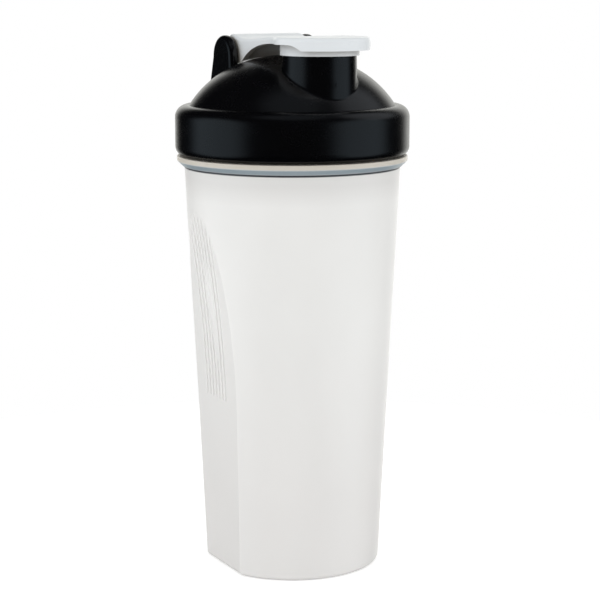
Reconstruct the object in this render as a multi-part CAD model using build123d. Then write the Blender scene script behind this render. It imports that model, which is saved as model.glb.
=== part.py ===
from build123d import *
from math import asin, cos, radians, sin, sqrt
import os

# Protein shaker bottle.  Millimetres, +Z up, origin on the table under the cup's axis.
# -Y is the side of the drinking spout, +Y the side of the flip cap's hinge,
# and the two grip flats look along -X and +X.

# ---- cup: a tapered cup with a threaded neck --------------------------------
BASE_RADIUS = 36.9
BODY_TOP_RADIUS = 45.2
BODY_TOP_Z = 169.9
CUP_WALL = 1.9
FLOOR_THICKNESS = 2.6
BASE_EDGE_RADIUS = 2.2
FLOOR_CORNER_RADIUS = 3.0
FOOT_RING_WIDTH = 6.0
FOOT_RING_HEIGHT = 1.2

# ---- cup: collar under the lid ----------------------------------------------
COLLAR_INSET = 0.7
COLLAR_LEDGE = 0.7
COLLAR_LEDGE_RISE = 0.3
COLLAR_CONE_HEIGHT = 2.3
COLLAR_BAND_HEIGHT = 2.0
COLLAR_EDGE_RADIUS = 0.4

# ---- cup: grip flats ----------------------------------------------------------
GRIP_BASE_DEPTH = 3.9
GRIP_KNEE_DEPTH = 4.9
GRIP_KNEE_Z = 70.0
GRIP_TOP_DROP = 16.9
RIB_COUNT = 7
RIB_PITCH = 3.0
RIB_WIDTH = 0.8
RIB_HEIGHT = 0.45
RIB_FOOT_Z = 74.0

# ---- neck and screw thread ---------------------------------------------------
NECK_INSET = 0.6
NECK_WALL = 2.0
NECK_HEIGHT = 17.3
RIM_EDGE_RADIUS = 0.7
THREAD_LEAD = 6.0
THREAD_TURNS = 1.5
THREAD_HEIGHT = 1.5
THREAD_ROOT_WIDTH = 3.0
THREAD_CREST_WIDTH = 1.6
THREAD_EMBED = 0.5
THREAD_START_ABOVE_COLLAR = 5.0
LID_THREAD_START_ABOVE_EDGE = 3.2

# ---- lid: band, shoulder and dome --------------------------------------------
LID_WALL = 2.4
LID_EDGE_GAP = 0.4
LID_EDGE_ROUND_WIDTH = 2.1
LID_EDGE_ROUND_HEIGHT = 3.6
LID_BORE_CLEARANCE = 0.5
SHOULDER_RADIUS = 5.0
SHOULDER_SWEEP = 110.0
DOME_RISE = 20.7
DOME_CROWN_EXTRA = 17.0
DOME_SIDE_INSET = 6.05
DOME_CROWN_WIDTH = 20.0
DOME_FOOT_DROP = 10.0
DOME_WALL = 2.2
CEILING_THICKNESS = 2.3
LID_CORNER_RADIUS = 1.0
FIN_GAP = 0.35
FIN_THICKNESS = 1.1
FIN_DEPTH = 4.7
FIN_ROOT = 1.5

# ---- lid gasket ---------------------------------------------------------------
GASKET_THICKNESS = 1.3
GASKET_WIDTH = 3.0
GASKET_RIM_GAP = 0.1
GASKET_EDGE_RADIUS = 0.26

# ---- spout ----------------------------------------------------------------------
SPOUT_INSET = 24.3
SPOUT_TOP_RADIUS = 14.9
SPOUT_DRAFT = 0.02
SPOUT_WALL = 2.2
SPOUT_RISE = 3.9
SPOUT_EDGE_RADIUS = 0.6
SPOUT_FOOT_RADIUS = 1.5
GATE_MARK_RADIUS = 0.7
GATE_MARK_DROP = 14.6
GATE_MARK_HEIGHT = 0.25

# ---- hinge ears ------------------------------------------------------------------
HINGE_INSET = 24.3
HINGE_DROP = 1.6
EAR_RADIUS = 9.0
EAR_THICKNESS = 4.3
EAR_EDGE_RADIUS = 1.8
EAR_FRONT_FLARE = 1.2
EAR_BACK_FLARE = 5.0
EAR_FOOT_DROP = 16.6
EAR_DOME_INSET = 0.3

# ---- flip cap ----------------------------------------------------------------------
ARM_SIDE_MARGIN = 0.45
ARM_SIDE_GAP = 0.4
KNUCKLE_RADIUS = 9.5
KNUCKLE_BACK_ANGLE = 97.0
KNUCKLE_SHELL = 2.2
TRUNNION_BOSS_RADIUS = 4.4
TRUNNION_RADIUS = 3.0
TRUNNION_LENGTH = 2.6
TRUNNION_CLEARANCE = 0.08
TRUNNION_END_GAP = 0.3
KNUCKLE_FRONT_ANGLE = 72.0
ARM_NECK_AHEAD = 3.0
ARM_NECK_DROP = 1.6
DISC_THICKNESS = 2.9
DISC_GAP = 1.2
LIP_REACH = 4.35
LIP_ANGLE = 80.0
LIP_FLARE_LENGTH = 16.0
LIP_START = 8.0
LIP_DROP = 2.3
STEP_LENGTH = 5.4
STEP_SLOPE = 0.9
DISC_FLAT = 6.0
ARCH_MIDDLE = 0.62
ARCH_MIDDLE_DROP = 3.6
ARCH_FOOT_DROP = 2.6
CHANNEL_END = 1.5
CHANNEL_SLOPE = 0.3
TOP_EDGE_RADIUS = 1.5
WEB_THICKNESS = 2.4
ARM_PLATE = 2.2
CAP_DOME_GAP = 0.5
SKIRT_GAP = 0.4
SKIRT_WALL = 0.85
SKIRT_DEPTH = 4.5

# ---- spout seal ----------------------------------------------------------------------
SEAL_WALL = 2.5
SPIGOT_DEPTH = 4.2
SEAL_BORE_GAP = 0.4
SEAL_RIM_GAP = 0.1
SEAL_RIM_INSET = 0.5
SEAL_DEPTH = 5.0
SEAL_LIP_RADIUS = 0.5

# ---- whisk ball --------------------------------------------------------------------------
BALL_RADIUS = 25.0
BALL_WIRE_RADIUS = 1.0
BALL_LOOPS = 6
BALL_POLE_ANGLE = 14.0
BALL_WEAVE_STEP = 0.3
BALL_WEAVE_LEVELS = 3
BALL_FLOOR_GAP = 0.2

# ---- radii that follow from the sizes above ------------------------------------------------
NECK_RADIUS = BODY_TOP_RADIUS - NECK_INSET
NECK_BORE = NECK_RADIUS - NECK_WALL
THREAD_CREST = NECK_RADIUS + THREAD_HEIGHT
LID_BORE = THREAD_CREST + LID_BORE_CLEARANCE
LID_RADIUS = LID_BORE + LID_WALL
COLLAR_RADIUS = LID_RADIUS - COLLAR_INSET
DOME_CROWN_RADIUS = LID_RADIUS + DOME_CROWN_EXTRA
DOME_SIDE_RADIUS = LID_RADIUS - DOME_SIDE_INSET
SPOUT_OFFSET = LID_RADIUS - SPOUT_INSET
HINGE_OFFSET = LID_RADIUS - HINGE_INSET
SPOUT_BORE_RADIUS = SPOUT_TOP_RADIUS - SPOUT_WALL
SPIGOT_RADIUS = SPOUT_BORE_RADIUS - SEAL_BORE_GAP - SEAL_WALL
SKIRT_BORE_RADIUS = SPOUT_TOP_RADIUS + SKIRT_GAP
SKIRT_RADIUS = SKIRT_BORE_RADIUS + SKIRT_WALL
ARM_HALF_WIDTH = SKIRT_RADIUS + ARM_SIDE_MARGIN
LIP_RADIUS = SKIRT_RADIUS + LIP_REACH
EAR_INNER = ARM_HALF_WIDTH + ARM_SIDE_GAP

# ---- heights that follow from the sizes above ----------------------------------------------
GRIP_TOP_Z = BODY_TOP_Z - GRIP_TOP_DROP
COLLAR_LEDGE_Z = BODY_TOP_Z + COLLAR_LEDGE_RISE
COLLAR_BAND_Z = COLLAR_LEDGE_Z + COLLAR_CONE_HEIGHT
COLLAR_TOP_Z = COLLAR_BAND_Z + COLLAR_BAND_HEIGHT
RIM_Z = COLLAR_TOP_Z + NECK_HEIGHT
LID_EDGE_Z = COLLAR_TOP_Z + LID_EDGE_GAP
CEILING_Z = RIM_Z + GASKET_RIM_GAP + GASKET_THICKNESS
SHOULDER_TOP_Z = CEILING_Z + CEILING_THICKNESS
DOME_FOOT_Z = SHOULDER_TOP_Z - DOME_FOOT_DROP
DOME_TOP_Z = SHOULDER_TOP_Z + DOME_RISE
SPOUT_TOP_Z = DOME_TOP_Z + SPOUT_RISE
GATE_MARK_Z = SPOUT_TOP_Z - GATE_MARK_DROP
HINGE_Z = DOME_TOP_Z - HINGE_DROP
EAR_FOOT_Z = HINGE_Z - EAR_FOOT_DROP
ARCH_FOOT_Z = HINGE_Z - ARCH_FOOT_DROP
DISC_UNDER_Z = SPOUT_TOP_Z + DISC_GAP
DISC_TOP_Z = DISC_UNDER_Z + DISC_THICKNESS
ARM_NECK_Z = DISC_TOP_Z - ARM_NECK_DROP
LIP_UNDER_Z = DISC_UNDER_Z - LIP_DROP
SKIRT_BOTTOM_Z = DISC_UNDER_Z - SKIRT_DEPTH

# ---- helpers for cutting, joining and picking faces -----------------------------------------
FAR = 80.0
OVERSHOOT = 1.0
JOIN_OVERLAP = 0.4
RADIUS_TOLERANCE = 0.01
TOP_FACE_SLOPE = 0.8
SIDE_FACE_SLOPE = 0.1


def body_radius(z):
    """Outer radius of the tapered body at height z."""
    return BASE_RADIUS + (BODY_TOP_RADIUS - BASE_RADIUS) * z / BODY_TOP_Z


def turned(outline):
    """Solid of revolution about Z from a closed outline in the XZ plane."""
    return revolve(Plane.XZ * make_face(outline), Axis.Z)


def along_x(outline, half_width):
    """Prism along X, centred on X = 0, from a closed outline given as (y, z)."""
    return extrude(Plane.YZ * make_face(outline), half_width, both=True)


def disc(radius, low, high):
    """Plain cylinder about Z."""
    return Pos(0, 0, low) * extrude(Circle(radius), high - low)


def ring(inner, outer, low, high):
    """Plain ring about Z."""
    return Pos(0, 0, low) * extrude(Circle(outer) - Circle(inner), high - low)


# ---- cup -----------------------------------------------------------------------------------
def grip_profile(inset):
    """The line that a grip flat follows in the XZ plane, moved inwards by inset."""
    foot = (BASE_RADIUS - GRIP_BASE_DEPTH - inset, 0)
    knee = (body_radius(GRIP_KNEE_Z) - GRIP_KNEE_DEPTH - inset, GRIP_KNEE_Z)
    top = (body_radius(GRIP_TOP_Z) - inset, GRIP_TOP_Z)
    straight = Line(foot, knee)
    return straight, TangentArc(knee, top, tangent=straight % 1)


def grip_envelope(inset, low, corner):
    """Everything between the two flats above the height low, with rounded lower corners."""
    straight, bend = grip_profile(inset)
    foot = straight @ 0
    top = bend @ 1
    rest = Polyline((top.X, top.Y), (FAR, top.Y), (FAR, RIM_Z + FAR), (0, RIM_Z + FAR), (0, 0), (foot.X, foot.Y))
    half = make_face([straight, bend, rest])
    half &= Pos(FAR / 2, low + RIM_Z) * Rectangle(FAR, 2 * RIM_Z)
    half = fillet(half.vertices().group_by(Axis.Y)[0].sort_by(Axis.X)[-1], corner)
    prism = extrude(Plane.XZ * half, FAR, both=True)
    return prism + Rot(0, 0, 180) * prism


def both_sides(solid):
    """The solid and its copy turned to the -X side."""
    return [solid, Rot(0, 0, 180) * solid]


def rounded_turn(points, corner):
    """Solid of revolution whose outer lower corner is rounded."""
    face = make_face(Polyline(*points, points[0]))
    face = fillet(face.vertices().group_by(Axis.Y)[0].sort_by(Axis.X)[-1], corner)
    return revolve(Plane.XZ * face, Axis.Z)


def body_blank():
    """Outside of the tapered body with its two flats and rounded foot."""
    points = [(0, 0), (BASE_RADIUS, 0), (BODY_TOP_RADIUS, BODY_TOP_Z), (0, BODY_TOP_Z)]
    return rounded_turn(points, BASE_EDGE_RADIUS) & grip_envelope(0, 0, BASE_EDGE_RADIUS)


def collar_and_neck():
    """Collar ring and neck above the body, as one solid plug before it is bored."""
    low = BODY_TOP_Z - OVERSHOOT
    outline = Polyline(
        (0, low),
        (body_radius(low), low),
        (BODY_TOP_RADIUS, COLLAR_LEDGE_Z),
        (BODY_TOP_RADIUS + COLLAR_LEDGE, COLLAR_LEDGE_Z),
        (COLLAR_RADIUS, COLLAR_BAND_Z),
        (COLLAR_RADIUS, COLLAR_TOP_Z),
        (NECK_RADIUS, COLLAR_TOP_Z),
        (NECK_RADIUS, RIM_Z),
        (0, RIM_Z),
        (0, low),
    )
    plug = turned(outline)
    rim = plug.edges().group_by(Axis.Z)[-1]
    plug = fillet(rim, RIM_EDGE_RADIUS)
    band = plug.edges().filter_by(GeomType.CIRCLE).filter_by(lambda e: abs(e.radius - COLLAR_RADIUS) < RADIUS_TOLERANCE)
    return fillet(band, COLLAR_EDGE_RADIUS)


def cup_cavity():
    """Inside of the cup, with the flats carried through so that the wall stays even."""
    points = [
        (0, FLOOR_THICKNESS),
        (body_radius(FLOOR_THICKNESS) - CUP_WALL, FLOOR_THICKNESS),
        (BODY_TOP_RADIUS - CUP_WALL, BODY_TOP_Z),
        (NECK_BORE, COLLAR_BAND_Z),
        (NECK_BORE, RIM_Z + OVERSHOOT),
        (0, RIM_Z + OVERSHOOT),
    ]
    envelope = grip_envelope(CUP_WALL, FLOOR_THICKNESS, FLOOR_CORNER_RADIUS)
    return rounded_turn(points, FLOOR_CORNER_RADIUS) & envelope


def grip_ribs():
    """Fine upright ribs on the upper part of each flat, inside the body's own outline."""
    straight, bend = grip_profile(0)
    lift = Pos(RIB_HEIGHT, 0)
    top = bend @ 1
    foot = straight @ 0
    ends = [Line((foot.X, 0), (foot.X + RIB_HEIGHT, 0)), Line((top.X, top.Y), (top.X + RIB_HEIGHT, top.Y))]
    strip = make_face([straight, bend, lift * straight, lift * bend] + ends)
    above = Pos(0, (RIB_FOOT_Z + FAR * 2) / 2) * Rectangle(FAR * 2, FAR * 2 - RIB_FOOT_Z)
    strip = Plane.XZ * (strip & above)
    inside = turned(Polyline((0, 0), (BASE_RADIUS, 0), (BODY_TOP_RADIUS, BODY_TOP_Z), (0, BODY_TOP_Z), (0, 0)))
    ribs = []
    for index in range(RIB_COUNT):
        y = (index - (RIB_COUNT - 1) / 2) * RIB_PITCH
        rib = Pos(0, y, 0) * extrude(strip, RIB_WIDTH / 2, both=True)
        ribs += both_sides(rib & inside)
    return ribs


def thread_ridge(root_radius, outward, start_z, start_angle):
    """One helical ridge standing out from a cylinder, with its root sunk a little into it."""
    sign = 1 if outward else -1
    helix = Helix(THREAD_LEAD, THREAD_LEAD * THREAD_TURNS, root_radius)
    start = helix @ 0
    plane = Plane(origin=start, x_dir=(start.X, start.Y, 0), z_dir=helix % 0)
    section = Polyline(
        (-sign * THREAD_EMBED, -THREAD_ROOT_WIDTH / 2),
        (sign * THREAD_HEIGHT, -THREAD_CREST_WIDTH / 2),
        (sign * THREAD_HEIGHT, THREAD_CREST_WIDTH / 2),
        (-sign * THREAD_EMBED, THREAD_ROOT_WIDTH / 2),
        (-sign * THREAD_EMBED, -THREAD_ROOT_WIDTH / 2),
    )
    ridge = sweep(plane * make_face(section), path=helix, is_frenet=True)
    return Pos(0, 0, start_z) * Rot(0, 0, start_angle) * ridge


def cup_thread_start():
    return COLLAR_TOP_Z + THREAD_START_ABOVE_COLLAR


def make_cup():
    cup = body_blank() + collar_and_neck()
    for rib in grip_ribs():
        cup += rib
    cup += thread_ridge(NECK_RADIUS, True, cup_thread_start(), 0)
    cup -= cup_cavity()
    recess_radius = BASE_RADIUS - GRIP_BASE_DEPTH - FOOT_RING_WIDTH
    cup -= extrude(Circle(recess_radius), FOOT_RING_HEIGHT, taper=45)
    return cup


# ---- lid ------------------------------------------------------------------------------------
def dome_flank():
    """Centre (x, z) and radius of the arc that runs on from the crown down to the dome's side."""
    crown_z = DOME_TOP_Z - DOME_CROWN_RADIUS
    sine = DOME_CROWN_WIDTH / DOME_CROWN_RADIUS
    cosine = sqrt(1 - sine**2)
    rise = SHOULDER_TOP_Z - crown_z
    reach = DOME_SIDE_RADIUS * sine + rise * cosine
    outside = DOME_CROWN_RADIUS**2 - DOME_SIDE_RADIUS**2 - rise**2
    shift = outside / (2 * (DOME_CROWN_RADIUS - reach))
    return (shift * sine, crown_z + shift * cosine), DOME_CROWN_RADIUS - shift


def flank_point(grow, z):
    """Point (x, z) of the flank arc, offset outwards by grow, at height z."""
    centre, radius = dome_flank()
    return (centre[0] + sqrt((radius + grow) ** 2 - (z - centre[1]) ** 2), z)


def dome_solid(grow):
    """The dome, offset outwards by grow, down to its foot inside the band."""
    crown_z = DOME_TOP_Z - DOME_CROWN_RADIUS
    lean = asin(DOME_CROWN_WIDTH / DOME_CROWN_RADIUS)
    crown_radius = DOME_CROWN_RADIUS + grow
    join = (crown_radius * sin(lean), crown_z + crown_radius * cos(lean))
    apex = (0, crown_z + crown_radius)
    middle = (crown_radius * sin(lean / 2), crown_z + crown_radius * cos(lean / 2))
    foot = flank_point(grow, DOME_FOOT_Z)
    half = (join[1] + foot[1]) / 2
    outline = [ThreePointArc(apex, middle, join), ThreePointArc(join, flank_point(grow, half), foot)]
    outline.append(Polyline(foot, (0, DOME_FOOT_Z), apex))
    return turned(outline)


def lid_band():
    """The wide grip band with its rounded lower edge and shoulder, as a solid plug."""
    side_foot = (LID_RADIUS, LID_EDGE_Z + LID_EDGE_ROUND_HEIGHT)
    edge_foot = (LID_RADIUS - LID_EDGE_ROUND_WIDTH, LID_EDGE_Z)
    lower = TangentArc(side_foot, edge_foot, tangent=(0, -1))
    shoulder_z = SHOULDER_TOP_Z - SHOULDER_RADIUS
    side = Line(side_foot, (LID_RADIUS, shoulder_z))
    shoulder = CenterArc((LID_RADIUS - SHOULDER_RADIUS, shoulder_z), SHOULDER_RADIUS, 0, SHOULDER_SWEEP)
    inner = shoulder @ 1
    rest = Polyline((inner.X, inner.Y), (0, inner.Y), (0, LID_EDGE_Z), edge_foot)
    return turned([lower, side, shoulder, rest])


def ear(side):
    """One hinge ear: a rounded plate that flares into the dome."""
    y = HINGE_OFFSET
    arc = CenterArc((y, HINGE_Z), EAR_RADIUS, 0, 180)
    foot_front = y - EAR_RADIUS - EAR_FRONT_FLARE
    foot_back = y + EAR_RADIUS + EAR_BACK_FLARE
    sides = Polyline(
        (y - EAR_RADIUS, HINGE_Z),
        (foot_front, EAR_FOOT_Z),
        (foot_back, EAR_FOOT_Z),
        (y + EAR_RADIUS, HINGE_Z),
    )
    plate = extrude(Plane.YZ * make_face([arc, sides]), EAR_THICKNESS)
    rims = plate.edges().filter_by(Plane.YZ).filter_by(lambda edge: edge.center().Z > EAR_FOOT_Z + OVERSHOOT)
    plate = fillet(rims, EAR_EDGE_RADIUS)
    plate = Pos(EAR_INNER, 0, 0) * plate
    if side < 0:
        plate = mirror(plate, Plane.YZ)
    limit = Pos(0, 0, EAR_FOOT_Z - OVERSHOOT) * extrude(Circle(DOME_SIDE_RADIUS - EAR_DOME_INSET), FAR)
    return plate & limit


def spout_blank():
    """Outside of the spout, a cone with a little draft, from inside the dome to its rim."""
    height = SPOUT_TOP_Z - DOME_FOOT_Z
    foot_radius = SPOUT_TOP_RADIUS + SPOUT_DRAFT * height
    blank = Pos(0, -SPOUT_OFFSET, DOME_FOOT_Z + height / 2) * Cone(foot_radius, SPOUT_TOP_RADIUS, height)
    return fillet(blank.edges().group_by(Axis.Z)[-1], SPOUT_EDGE_RADIUS)


def spout_foot(lid):
    """Edges where the spout's side meets the dome."""
    side = lid.faces().filter_by(GeomType.CONE).sort_by(Axis.Z)[-1]
    return side.edges().filter_by(GeomType.LINE, reverse=True).filter_by(GeomType.CIRCLE, reverse=True)


def gate_mark():
    """Small round mark left by the mould gate on the front of the spout."""
    radius = SPOUT_TOP_RADIUS + SPOUT_DRAFT * (SPOUT_TOP_Z - GATE_MARK_Z)
    plane = Plane(origin=(0, -SPOUT_OFFSET - radius + JOIN_OVERLAP, GATE_MARK_Z), z_dir=(0, -1, 0))
    return extrude(plane * Circle(GATE_MARK_RADIUS), JOIN_OVERLAP + GATE_MARK_HEIGHT)


def lid_hollow():
    """Everything inside the lid: the bore over the neck and the space under the dome."""
    bore = disc(LID_BORE, LID_EDGE_Z - OVERSHOOT, CEILING_Z)
    bore = fillet(bore.edges().group_by(Axis.Z)[-1], LID_CORNER_RADIUS)
    return bore + dome_solid(-DOME_WALL)


def make_lid():
    lid = lid_band() + dome_solid(0) + spout_blank()
    lid = fillet(spout_foot(lid), SPOUT_FOOT_RADIUS)
    lid += gate_mark()
    lid += ear(1)
    lid += ear(-1)
    lid -= lid_hollow()
    lid -= Pos(0, -SPOUT_OFFSET, DOME_FOOT_Z) * extrude(Circle(SPOUT_BORE_RADIUS), FAR)
    fin_outer = NECK_BORE - FIN_GAP
    lid += ring(fin_outer - FIN_THICKNESS, fin_outer, CEILING_Z - FIN_DEPTH, CEILING_Z + FIN_ROOT)
    start_z = LID_EDGE_Z + LID_THREAD_START_ABOVE_EDGE
    phase = (start_z - cup_thread_start() - THREAD_LEAD / 2) / THREAD_LEAD * 360
    lid += thread_ridge(LID_BORE, False, start_z, phase)
    socket = trunnion_rod(TRUNNION_RADIUS + TRUNNION_CLEARANCE, ARM_HALF_WIDTH + TRUNNION_LENGTH + TRUNNION_END_GAP)
    return lid - socket


# ---- lid gasket --------------------------------------------------------------------------------
def make_gasket():
    low = RIM_Z + GASKET_RIM_GAP
    gasket = ring(NECK_BORE, NECK_BORE + GASKET_WIDTH, low, low + GASKET_THICKNESS)
    return fillet(gasket.edges(), GASKET_EDGE_RADIUS)


# ---- flip cap ------------------------------------------------------------------------------------
def trunnion_rod(radius, half_length):
    """Round rod along the hinge axis, centred on X = 0."""
    plane = Plane(origin=(0, HINGE_OFFSET, HINGE_Z), z_dir=(1, 0, 0))
    return extrude(plane * Circle(radius), half_length, both=True)


def knuckle_point(angle, radius):
    """Point (y, z) about the hinge axis; 0 degrees looks to the spout and 90 degrees up."""
    return (HINGE_OFFSET - radius * cos(radians(angle)), HINGE_Z + radius * sin(radians(angle)))


def arm_profile():
    """Side outline (y, z) of knuckle, arm and disc."""
    front = -SPOUT_OFFSET - LIP_RADIUS
    disc_y = -SPOUT_OFFSET + DISC_FLAT
    neck = (HINGE_OFFSET - KNUCKLE_RADIUS - ARM_NECK_AHEAD, ARM_NECK_Z)
    step_start = (-SPOUT_OFFSET - LIP_START, DISC_UNDER_Z)
    step_end = (step_start[0] - STEP_LENGTH, LIP_UNDER_Z)
    back = knuckle_point(KNUCKLE_BACK_ANGLE, KNUCKLE_RADIUS)
    crown_end = knuckle_point(KNUCKLE_FRONT_ANGLE, KNUCKLE_RADIUS)
    crown_middle = knuckle_point((KNUCKLE_BACK_ANGLE + KNUCKLE_FRONT_ANGLE) / 2, KNUCKLE_RADIUS)
    crown_slope = (-sin(radians(KNUCKLE_FRONT_ANGLE)), -cos(radians(KNUCKLE_FRONT_ANGLE)))
    arch_foot = (HINGE_OFFSET - KNUCKLE_RADIUS, ARCH_FOOT_Z)
    arch_middle = (disc_y + (arch_foot[0] - disc_y) * ARCH_MIDDLE, DISC_UNDER_Z - ARCH_MIDDLE_DROP * ARCH_MIDDLE)
    outline = Curve()
    outline += ThreePointArc(back, crown_middle, crown_end)
    outline += Spline(crown_end, neck, (disc_y, DISC_TOP_Z), tangents=[crown_slope, (-1, 0)])
    outline += Polyline((disc_y, DISC_TOP_Z), (front, DISC_TOP_Z), (front, LIP_UNDER_Z), step_end)
    outline += Spline(step_end, step_start, tangents=[(1, STEP_SLOPE), (1, 0)])
    outline += Line(step_start, (disc_y, DISC_UNDER_Z))
    outline += Spline((disc_y, DISC_UNDER_Z), arch_middle, arch_foot, tangents=[(1, 0), (1, -1)])
    outline += Polyline(
        arch_foot,
        (arch_foot[0], HINGE_Z - TRUNNION_BOSS_RADIUS),
        knuckle_point(270, TRUNNION_BOSS_RADIUS),
        knuckle_point(180, TRUNNION_BOSS_RADIUS),
        back,
    )
    return outline


def cap_plan():
    """Plan outline of arm and disc, flaring smoothly into the rounder thumb lip in front."""
    w = ARM_HALF_WIDTH
    back = HINGE_OFFSET + 2 * KNUCKLE_RADIUS
    turn = radians(LIP_ANGLE)
    corner = (LIP_RADIUS * sin(turn), -SPOUT_OFFSET - LIP_RADIUS * cos(turn))
    flare_start = corner[1] + LIP_FLARE_LENGTH
    mirror_corner = (-corner[0], corner[1])
    outline = Curve()
    outline += Polyline((w, flare_start), (w, back), (-w, back), (-w, flare_start))
    outline += Spline((-w, flare_start), mirror_corner, tangents=[(0, -1), (cos(turn), -sin(turn))])
    outline += ThreePointArc(mirror_corner, (0, -SPOUT_OFFSET - LIP_RADIUS), corner)
    outline += Spline(corner, (w, flare_start), tangents=[(cos(turn), sin(turn)), (0, 1)])
    return make_face(outline)


def arm_pockets():
    """Hollow under the knuckle's shell and channel under the arm, between the two side webs."""
    half_width = ARM_HALF_WIDTH - WEB_THICKNESS
    inner = KNUCKLE_RADIUS - KNUCKLE_SHELL
    front = HINGE_OFFSET - inner
    back = HINGE_OFFSET + 2 * KNUCKLE_RADIUS
    low = HINGE_Z - 2 * KNUCKLE_RADIUS
    under = Polyline((front, low), (front, HINGE_Z), (back, HINGE_Z), (back, low), (front, low))
    near = HINGE_OFFSET - KNUCKLE_RADIUS
    far = -SPOUT_OFFSET + ARM_HALF_WIDTH + CHANNEL_END
    channel = Polyline(
        (near, low),
        (near, ARM_NECK_Z - ARM_PLATE - CHANNEL_SLOPE),
        (far, ARM_NECK_Z - ARM_PLATE + CHANNEL_SLOPE),
        (far, low),
        (near, low),
    )
    return [trunnion_rod(inner, half_width), along_x(under, half_width), along_x(channel, half_width)]


def spout_ring(inner, outer, low, high):
    """Plain ring about the spout's axis."""
    return Pos(0, -SPOUT_OFFSET, 0) * ring(inner, outer, low, high)


def top_rim(cap):
    """Edges between the cap's top faces and its upright sides."""
    tops = cap.faces().filter_by(lambda f: f.normal_at(f.center()).Z > TOP_FACE_SLOPE)
    sides = cap.faces().filter_by(lambda f: abs(f.normal_at(f.center()).Z) < SIDE_FACE_SLOPE)
    side_edges = [edge for face in sides for edge in face.edges()]
    return [edge for face in tops for edge in face.edges() if edge in side_edges]


def make_flip_cap():
    low = HINGE_Z - 2 * KNUCKLE_RADIUS
    outline = Pos(0, 0, low) * extrude(cap_plan(), 4 * KNUCKLE_RADIUS)
    cap = along_x(arm_profile(), LIP_RADIUS) & outline
    cap = fillet(top_rim(cap), TOP_EDGE_RADIUS)
    joined_z = DISC_UNDER_Z + JOIN_OVERLAP
    cap -= Pos(0, -SPOUT_OFFSET, 0) * disc(SKIRT_BORE_RADIUS, low, DISC_UNDER_Z)
    cap += spout_ring(SKIRT_BORE_RADIUS, SKIRT_RADIUS, SKIRT_BOTTOM_Z, joined_z)
    cap += spout_ring(SPIGOT_RADIUS - SKIRT_WALL, SPIGOT_RADIUS, DISC_UNDER_Z - SPIGOT_DEPTH, joined_z)
    cap += trunnion_rod(TRUNNION_BOSS_RADIUS, ARM_HALF_WIDTH)
    cap += trunnion_rod(TRUNNION_RADIUS, ARM_HALF_WIDTH + TRUNNION_LENGTH)
    for pocket in arm_pockets():
        cap -= pocket
    return cap - dome_solid(CAP_DOME_GAP)


# ---- spout seal -----------------------------------------------------------------------------------
def make_seal():
    """Soft plug that stands in the spout's mouth, pushed on to the cap's spigot."""
    flange = spout_ring(SPIGOT_RADIUS, SPOUT_TOP_RADIUS - SEAL_RIM_INSET, SPOUT_TOP_Z + SEAL_RIM_GAP, DISC_UNDER_Z)
    plug_radius = SPOUT_BORE_RADIUS - SEAL_BORE_GAP
    plug = spout_ring(SPIGOT_RADIUS, plug_radius, DISC_UNDER_Z - SEAL_DEPTH, DISC_UNDER_Z)
    plug = fillet(plug.edges().group_by(Axis.Z)[0].sort_by(SortBy.RADIUS)[-1], SEAL_LIP_RADIUS)
    return flange + plug


# ---- whisk ball -------------------------------------------------------------------------------------
def make_whisk_ball():
    """Round wire loops that all lean past the poles, crossing on one sphere."""
    lean = radians(BALL_POLE_ANGLE)
    loops = []
    for index in range(BALL_LOOPS):
        turn = radians(index * 360 / BALL_LOOPS)
        loop_radius = BALL_RADIUS - BALL_WIRE_RADIUS - BALL_WEAVE_STEP * (index % BALL_WEAVE_LEVELS)
        normal = (cos(turn) * cos(lean), sin(turn) * cos(lean), sin(lean))
        loops.append(Plane(origin=(0, 0, 0), z_dir=normal) * Torus(loop_radius, BALL_WIRE_RADIUS))
    return Pos(0, 0, FLOOR_THICKNESS + BALL_FLOOR_GAP + BALL_RADIUS) * (Part() + loops)


if __name__ == "__main__":
    os.makedirs("parts", exist_ok=True)
    makers = {
        "cup": make_cup,
        "lid": make_lid,
        "lid_gasket": make_gasket,
        "flip_cap": make_flip_cap,
        "spout_seal": make_seal,
        "whisk_ball": make_whisk_ball,
    }
    for name, maker in makers.items():
        export_step(maker(), f"parts/{name}.step")
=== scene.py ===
import bmesh
import bpy
import math
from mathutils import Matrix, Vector


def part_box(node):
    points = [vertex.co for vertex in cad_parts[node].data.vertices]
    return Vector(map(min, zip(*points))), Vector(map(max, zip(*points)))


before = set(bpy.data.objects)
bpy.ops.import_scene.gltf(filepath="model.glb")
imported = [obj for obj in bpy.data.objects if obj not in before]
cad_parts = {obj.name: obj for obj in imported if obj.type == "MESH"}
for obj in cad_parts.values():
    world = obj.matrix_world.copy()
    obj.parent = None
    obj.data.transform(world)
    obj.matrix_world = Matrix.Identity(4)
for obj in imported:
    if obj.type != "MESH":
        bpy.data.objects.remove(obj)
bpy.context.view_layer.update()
bpy.context.scene.view_settings.view_transform = "Standard"

# Protein shaker bottle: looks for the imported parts.  Metres, +Z up, -Y towards the drinking spout.

MM = 0.001

# ---- camera ----------------------------------------------------------------------------------
CAMERA_AZIMUTH = -27.0
CAMERA_TILT = 9.86
CAMERA_DISTANCE = 0.789
CAMERA_HEIGHT = 0.2496
CAMERA_SIDE = 0.0032
CAMERA_LENS = 113.0

# ---- studio: azimuths are counted from the camera's, in degrees ------------------------------
MATT_FILL = 1.0
FLOOR_GLOW = 0.25
FLOOR_RADIUS = 0.30
FLOOR_SEGMENTS = 96
# azimuth, elevation, reach and colour of each soft box that shows in reflections
REFLECTED_BOXES = (
    (-79, -4, 40, (0.42, 0.51, 0.58)),
    (72, -4, 38, (0.42, 0.51, 0.58)),
    (104, 38, 32, (0.55, 0.58, 0.62)),
    (174, 0, 41, (1.15, 1.15, 1.10)),
    (0, 68, 30, (0.17, 0.19, 0.21)),
)
BOX_CORE = 0.45
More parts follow.
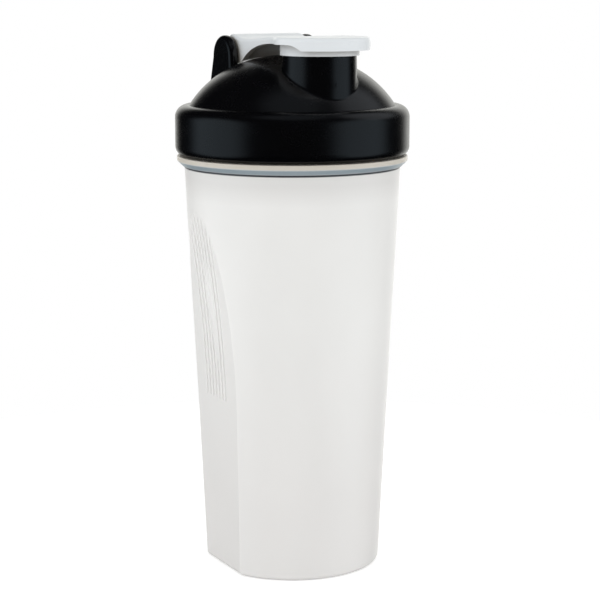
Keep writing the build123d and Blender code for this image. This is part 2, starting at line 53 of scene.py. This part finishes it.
# name, azimuth and power of each area light
KEY_BOXES = (("left_box", -60, 1.7), ("right_box", 60, 1.4))
KEY_DISTANCE = 0.9
KEY_HEIGHT = 0.30
KEY_SIZE = (0.5, 0.8)
KEY_AIM = (0, 0, 0.12)

# ---- colours and the cup's height zones ------------------------------------------------------
CUP_WALL = (0.705, 0.703, 0.690)
CUP_WALL_CLOUD = (0.735, 0.733, 0.720)
CUP_FOOT = (0.660, 0.652, 0.640)
CUP_FOOT_CLOUD = (0.680, 0.670, 0.658)
# Painted shade: the wall just under the collar, darker where the collar shades it.
CUP_PAINTED_SHADE_UNDER_COLLAR = (0.65, 0.645, 0.632)
# The collar band: its own warmer thicker plastic, darkened by painted shade under the lid's edge.
CUP_BAND_TONE_AND_SHADE = (0.525, 0.495, 0.44)
# Painted shade on the collar's downward-facing cone.
CUP_CONE_PAINTED_SHADE = (0.235, 0.285, 0.315)
# Painted shadow: the dark line that the ledge casts on the body below it.
CUP_LEDGE_PAINTED_SHADOW = (0.045, 0.052, 0.06)
COLLAR_HEIGHT = 4.7 * MM
COLLAR_CONE = 2.3 * MM
FOOT_FADE = (0.03, 0.11)
LID_DARK = (0.0003, 0.0003, 0.0007)
LID_LIGHT = (0.0007, 0.0008, 0.0014)


# ---- node helpers ----------------------------------------------------------------------------
def new_material(name):
    material = bpy.data.materials.new(name)
    material.use_nodes = True
    tree = material.node_tree
    shader = next(n for n in tree.nodes if n.type == "BSDF_PRINCIPLED")
    return material, tree, shader


def position_node(tree):
    return tree.nodes.new("ShaderNodeTexCoord").outputs["Object"]


def noise_node(tree, scale, detail, roughness=0.5, distortion=0.0, stretch=None):
    """Noise by object position; stretch scales the pattern along X, Y and Z."""
    noise = tree.nodes.new("ShaderNodeTexNoise")
    noise.inputs["Scale"].default_value = scale
    noise.inputs["Detail"].default_value = detail
    noise.inputs["Roughness"].default_value = roughness
    noise.inputs["Distortion"].default_value = distortion
    source = position_node(tree)
    if stretch:
        mapping = tree.nodes.new("ShaderNodeMapping")
        mapping.inputs["Scale"].default_value = stretch
        tree.links.new(source, mapping.inputs["Vector"])
        source = mapping.outputs["Vector"]
    tree.links.new(source, noise.inputs["Vector"])
    return noise.outputs["Fac"]


def between(tree, value, low, high, start=0.0, end=1.0):
    """Map Range of a value from start..end to low..high."""
    ramp = tree.nodes.new("ShaderNodeMapRange")
    ramp.inputs["From Min"].default_value = start
    ramp.inputs["From Max"].default_value = end
    ramp.inputs["To Min"].default_value = low
    ramp.inputs["To Max"].default_value = high
    tree.links.new(value, ramp.inputs["Value"])
    return ramp.outputs["Result"]


def mixed(tree, factor, first, second):
    """Colour mixed from two RGB triples or outputs by a factor output."""
    mix = tree.nodes.new("ShaderNodeMix")
    mix.data_type = "RGBA"
    tree.links.new(factor, mix.inputs["Factor"])
    for colour, socket in ((first, mix.inputs[6]), (second, mix.inputs[7])):
        if isinstance(colour, tuple):
            socket.default_value = (*colour, 1)
        else:
            tree.links.new(colour, socket)
    return mix.outputs[2]


def bumped(tree, shader, layers):
    """Bumps on the shader's normal; each layer is (height output, strength, distance in mm)."""
    normal = None
    for height, strength, distance in layers:
        bump = tree.nodes.new("ShaderNodeBump")
        bump.inputs["Strength"].default_value = strength
        bump.inputs["Distance"].default_value = distance * MM
        tree.links.new(height, bump.inputs["Height"])
        if normal:
            tree.links.new(normal, bump.inputs["Normal"])
        normal = bump.outputs["Normal"]
    tree.links.new(normal, shader.inputs["Normal"])


# ---- materials -------------------------------------------------------------------------------
def height_of(tree):
    """Height above the table at each point of the surface, at rest."""
    split = tree.nodes.new("ShaderNodeSeparateXYZ")
    tree.links.new(position_node(tree), split.inputs["Vector"])
    return split.outputs["Z"]


def height_band(tree, low, high, soft):
    """1 between two heights and 0 outside them, with soft edges."""
    height = height_of(tree)
    rise = between(tree, height, 0.0, 1.0, low - soft, low + soft)
    fall = between(tree, height, 1.0, 0.0, high - soft, high + soft)
    both = tree.nodes.new("ShaderNodeMath")
    both.operation = "MULTIPLY"
    tree.links.new(rise, both.inputs[0])
    tree.links.new(fall, both.inputs[1])
    return both.outputs[0]


def milky_plastic():
    """Cloudy polypropylene, greyer at the foot, with colours by height at the collar: painted shade
    under it, a band of thicker plastic with painted shade under the lid, painted shade on its cone
    and a painted shadow line under its ledge.
    """
    material, tree, shader = new_material("milky_plastic")
    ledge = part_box("lid")[0].z - COLLAR_HEIGHT
    fade = between(tree, height_of(tree), 0.0, 1.0, *FOOT_FADE)
    base = mixed(tree, fade, CUP_FOOT, CUP_WALL)
    drift = noise_node(tree, 22.0, 3.0, 0.5, 0.3, (1, 1, 0.5))
    cloud = between(tree, drift, 0.0, 1.0, 0.35, 0.7)
    base = mixed(tree, cloud, base, mixed(tree, fade, CUP_FOOT_CLOUD, CUP_WALL_CLOUD))
    # Painted shade on the wall just under the collar.
    base = mixed(tree, height_band(tree, ledge - 9 * MM, ledge, 4 * MM), base, CUP_PAINTED_SHADE_UNDER_COLLAR)
    cone_top = ledge + COLLAR_CONE
    # The collar band: thicker plastic with painted shade under the lid.
    band = height_band(tree, cone_top, ledge + COLLAR_HEIGHT, 0.3 * MM)
    base = mixed(tree, band, base, CUP_BAND_TONE_AND_SHADE)
    # Painted shade on the collar's downward-facing cone.
    cone = height_band(tree, ledge + 0.2 * MM, cone_top, 0.35 * MM)
    base = mixed(tree, cone, base, CUP_CONE_PAINTED_SHADE)
    # Painted shadow line under the ledge.
    line = height_band(tree, ledge - 0.7 * MM, ledge + 0.25 * MM, 0.2 * MM)
    colour = mixed(tree, line, base, CUP_LEDGE_PAINTED_SHADOW)
    tree.links.new(colour, shader.inputs["Base Color"])
    rough = between(tree, noise_node(tree, 240.0, 3.0), 0.30, 0.40)
    tree.links.new(rough, shader.inputs["Roughness"])
    shader.inputs["IOR"].default_value = 1.49
    shader.inputs["Subsurface Weight"].default_value = 0.6
    shader.inputs["Subsurface Radius"].default_value = (1.0, 1.0, 1.0)
    shader.inputs["Subsurface Scale"].default_value = 1.5 * MM
    grain = noise_node(tree, 1900.0, 2.0)
    wave = noise_node(tree, 45.0, 2.0, 0.5, 0.0, (1, 1, 0.3))
    bumped(tree, shader, [(wave, 0.12, 0.10), (grain, 0.10, 0.03)])
    return material


def black_plastic():
    """Satin black moulded plastic with a fine spark-eroded grain and faint handling marks."""
    material, tree, shader = new_material("black_plastic")
    mottle = noise_node(tree, 55.0, 4.0, 0.6)
    colour = mixed(tree, mottle, LID_DARK, LID_LIGHT)
    tree.links.new(colour, shader.inputs["Base Color"])
    smear = noise_node(tree, 38.0, 5.0, 0.65, 0.8, (1, 1, 2.2))
    fine = noise_node(tree, 700.0, 2.0)
    rough = tree.nodes.new("ShaderNodeMath")
    rough.operation = "ADD"
    tree.links.new(between(tree, smear, 0.20, 0.26, 0.3, 0.7), rough.inputs[0])
    tree.links.new(between(tree, fine, 0.0, 0.05), rough.inputs[1])
    tree.links.new(rough.outputs[0], shader.inputs["Roughness"])
    shader.inputs["IOR"].default_value = 1.46
    grain = noise_node(tree, 2300.0, 3.0)
    flow = noise_node(tree, 45.0, 2.0)
    bumped(tree, shader, [(flow, 0.2, 0.12), (grain, 0.12, 0.03)])
    return material


def white_plastic():
    """Cool white glossy moulding of the flip cap, with painted shade darkening its crevices and
    recesses.
    """
    material, tree, shader = new_material("white_plastic")
    mottle = noise_node(tree, 70.0, 3.0)
    colour = mixed(tree, mottle, (0.635, 0.665, 0.685), (0.68, 0.705, 0.72))
    # Painted shade: the colour falls to warm grey where ambient occlusion finds crevices and
    # recesses, such as under the arm.
    shade = tree.nodes.new("ShaderNodeAmbientOcclusion")
    shade.samples = 8
    shade.inputs["Distance"].default_value = 11 * MM
    painted_shade_mask = between(tree, shade.outputs["AO"], 0.0, 1.0, 0.30, 0.85)
    colour = mixed(tree, painted_shade_mask, (0.30, 0.28, 0.25), colour)
    tree.links.new(colour, shader.inputs["Base Color"])
    rough = between(tree, noise_node(tree, 160.0, 4.0, 0.6), 0.24, 0.36)
    tree.links.new(rough, shader.inputs["Roughness"])
    shader.inputs["Subsurface Weight"].default_value = 0.35
    shader.inputs["Subsurface Radius"].default_value = (1.0, 1.0, 1.0)
    shader.inputs["Subsurface Scale"].default_value = 1.5 * MM
    grain = noise_node(tree, 2000.0, 2.0)
    flow = noise_node(tree, 80.0, 2.0)
    bumped(tree, shader, [(flow, 0.15, 0.08), (grain, 0.08, 0.02)])
    return material


def soft_rubber():
    """Grey silicone of the gasket and the spout's seal."""
    material, tree, shader = new_material("soft_rubber")
    mottle = noise_node(tree, 120.0, 3.0)
    colour = mixed(tree, mottle, (0.52, 0.54, 0.55), (0.60, 0.62, 0.63))
    tree.links.new(colour, shader.inputs["Base Color"])
    rough = between(tree, noise_node(tree, 300.0, 3.0), 0.5, 0.65)
    tree.links.new(rough, shader.inputs["Roughness"])
    shader.inputs["Subsurface Weight"].default_value = 0.4
    shader.inputs["Subsurface Scale"].default_value = 1.0 * MM
    bumped(tree, shader, [(noise_node(tree, 1500.0, 3.0), 0.2, 0.03)])
    return material


def drawn_wire():
    """Drawn stainless wire with faint marks along its length."""
    material, tree, shader = new_material("drawn_wire")
    marks = noise_node(tree, 420.0, 4.0, 0.6)
    colour = mixed(tree, marks, (0.55, 0.55, 0.54), (0.68, 0.68, 0.67))
    tree.links.new(colour, shader.inputs["Base Color"])
    shader.inputs["Metallic"].default_value = 1.0
    rough = between(tree, marks, 0.18, 0.32)
    tree.links.new(rough, shader.inputs["Roughness"])
    bumped(tree, shader, [(noise_node(tree, 900.0, 3.0), 0.15, 0.03)])
    return material


def floor_paint():
    """Pale light-table surface with a soft glow of its own."""
    material, tree, shader = new_material("floor_paint")
    cloud = noise_node(tree, 3.0, 3.0)
    colour = mixed(tree, cloud, (0.90, 0.90, 0.90), (0.93, 0.93, 0.93))
    tree.links.new(colour, shader.inputs["Base Color"])
    rough = between(tree, noise_node(tree, 12.0, 2.0), 0.75, 0.85)
    tree.links.new(rough, shader.inputs["Roughness"])
    shader.inputs["Emission Color"].default_value = (1, 1, 1, 1)
    shader.inputs["Emission Strength"].default_value = FLOOR_GLOW
    return material


# ---- stage -----------------------------------------------------------------------------------
def make_floor():
    """Round pale floor under the bottle."""
    mesh = bpy.data.meshes.new("floor")
    shape = bmesh.new()
    bmesh.ops.create_circle(shape, cap_ends=True, segments=FLOOR_SEGMENTS, radius=FLOOR_RADIUS)
    shape.to_mesh(mesh)
    shape.free()
    floor = bpy.data.objects.new("floor", mesh)
    bpy.context.scene.collection.objects.link(floor)
    mesh.materials.append(floor_paint())
    floor.visible_glossy = False


def area_light(name, place, aim, size, power):
    """Rectangular light that lights surfaces but isn't seen in reflections."""
    data = bpy.data.lights.new(name, "AREA")
    data.shape = "RECTANGLE"
    data.size, data.size_y = size
    data.energy = power
    light = bpy.data.objects.new(name, data)
    bpy.context.scene.collection.objects.link(light)
    light.location = place
    direction = Vector(aim) - Vector(place)
    light.rotation_euler = direction.to_track_quat("-Z", "Y").to_euler()
    light.visible_glossy = False


def around(azimuth, distance, height):
    """Place at an azimuth measured like the camera's, in degrees, about the bottle's axis."""
    turn = math.radians(azimuth)
    return (distance * math.sin(turn), -distance * math.cos(turn), height)


def towards(azimuth, elevation):
    """Unit direction at an azimuth measured like the camera's and an elevation, in degrees."""
    turn, lift = math.radians(azimuth), math.radians(elevation)
    return (math.sin(turn) * math.cos(lift), -math.cos(turn) * math.cos(lift), math.sin(lift))


def add_colours(tree, first, second):
    total = tree.nodes.new("ShaderNodeVectorMath")
    total.operation = "ADD"
    tree.links.new(first, total.inputs[0])
    tree.links.new(second, total.inputs[1])
    return total.outputs["Vector"]


def soft_glow(tree, direction, azimuth, elevation, reach, level):
    """Colour of a soft box in reflections: full in its core, nothing beyond reach degrees."""
    dot = tree.nodes.new("ShaderNodeVectorMath")
    dot.operation = "DOT_PRODUCT"
    tree.links.new(direction, dot.inputs[0])
    dot.inputs[1].default_value = towards(azimuth, elevation)
    ramp = tree.nodes.new("ShaderNodeMapRange")
    ramp.interpolation_type = "SMOOTHSTEP"
    ramp.inputs["From Min"].default_value = math.cos(math.radians(reach))
    ramp.inputs["From Max"].default_value = math.cos(math.radians(reach * BOX_CORE))
    tree.links.new(dot.outputs["Value"], ramp.inputs["Value"])
    return mixed(tree, ramp.outputs["Result"], (0.0, 0.0, 0.0), level)


def studio_world():
    """White studio: even fill for matt light, soft boxes and a dark front in reflections."""
    world = bpy.data.worlds.new("studio")
    bpy.context.scene.world = world
    world.use_nodes = True
    tree = world.node_tree
    background = tree.nodes["Background"]
    direction = tree.nodes.new("ShaderNodeTexCoord").outputs["Generated"]
    glows = [
        soft_glow(tree, direction, CAMERA_AZIMUTH + turn, lift, reach, level)
        for turn, lift, reach, level in REFLECTED_BOXES
    ]
    reflected = glows[0]
    for glow in glows[1:]:
        reflected = add_colours(tree, reflected, glow)
    path = tree.nodes.new("ShaderNodeLightPath")
    matt = mixed(tree, path.outputs["Is Glossy Ray"], (MATT_FILL,) * 3, reflected)
    seen = mixed(tree, path.outputs["Is Camera Ray"], matt, (1.0, 1.0, 1.0))
    tree.links.new(seen, background.inputs["Color"])
    background.inputs["Strength"].default_value = 1.0


def make_lights():
    studio_world()
    for name, turn, power in KEY_BOXES:
        place = around(CAMERA_AZIMUTH + turn, KEY_DISTANCE, KEY_HEIGHT)
        area_light(name, place, KEY_AIM, KEY_SIZE, power)


def make_camera():
    data = bpy.data.cameras.new("camera")
    data.lens = CAMERA_LENS
    data.sensor_width = 36.0
    data.clip_start = 0.01
    data.clip_end = 100.0
    camera = bpy.data.objects.new("camera", data)
    bpy.context.scene.collection.objects.link(camera)
    turn = math.radians(CAMERA_AZIMUTH)
    x, y, z = around(CAMERA_AZIMUTH, CAMERA_DISTANCE, CAMERA_HEIGHT)
    camera.location = (x + CAMERA_SIDE * math.cos(turn), y + CAMERA_SIDE * math.sin(turn), z)
    camera.rotation_euler = (math.radians(90 - CAMERA_TILT), 0, turn)
    bpy.context.scene.camera = camera


# ---- the object ------------------------------------------------------------------------------
def dress(node, material):
    """Gives a CAD node its finished material."""
    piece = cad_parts[node]
    for slot in piece.material_slots:
        slot.material = material


def dress_all():
    rubber = soft_rubber()
    dress("cup", milky_plastic())
    dress("lid", black_plastic())
    dress("flip_cap", white_plastic())
    dress("lid_gasket", rubber)
    dress("spout_seal", rubber)
    dress("whisk_ball", drawn_wire())


make_camera()
make_lights()
make_floor()
dress_all()
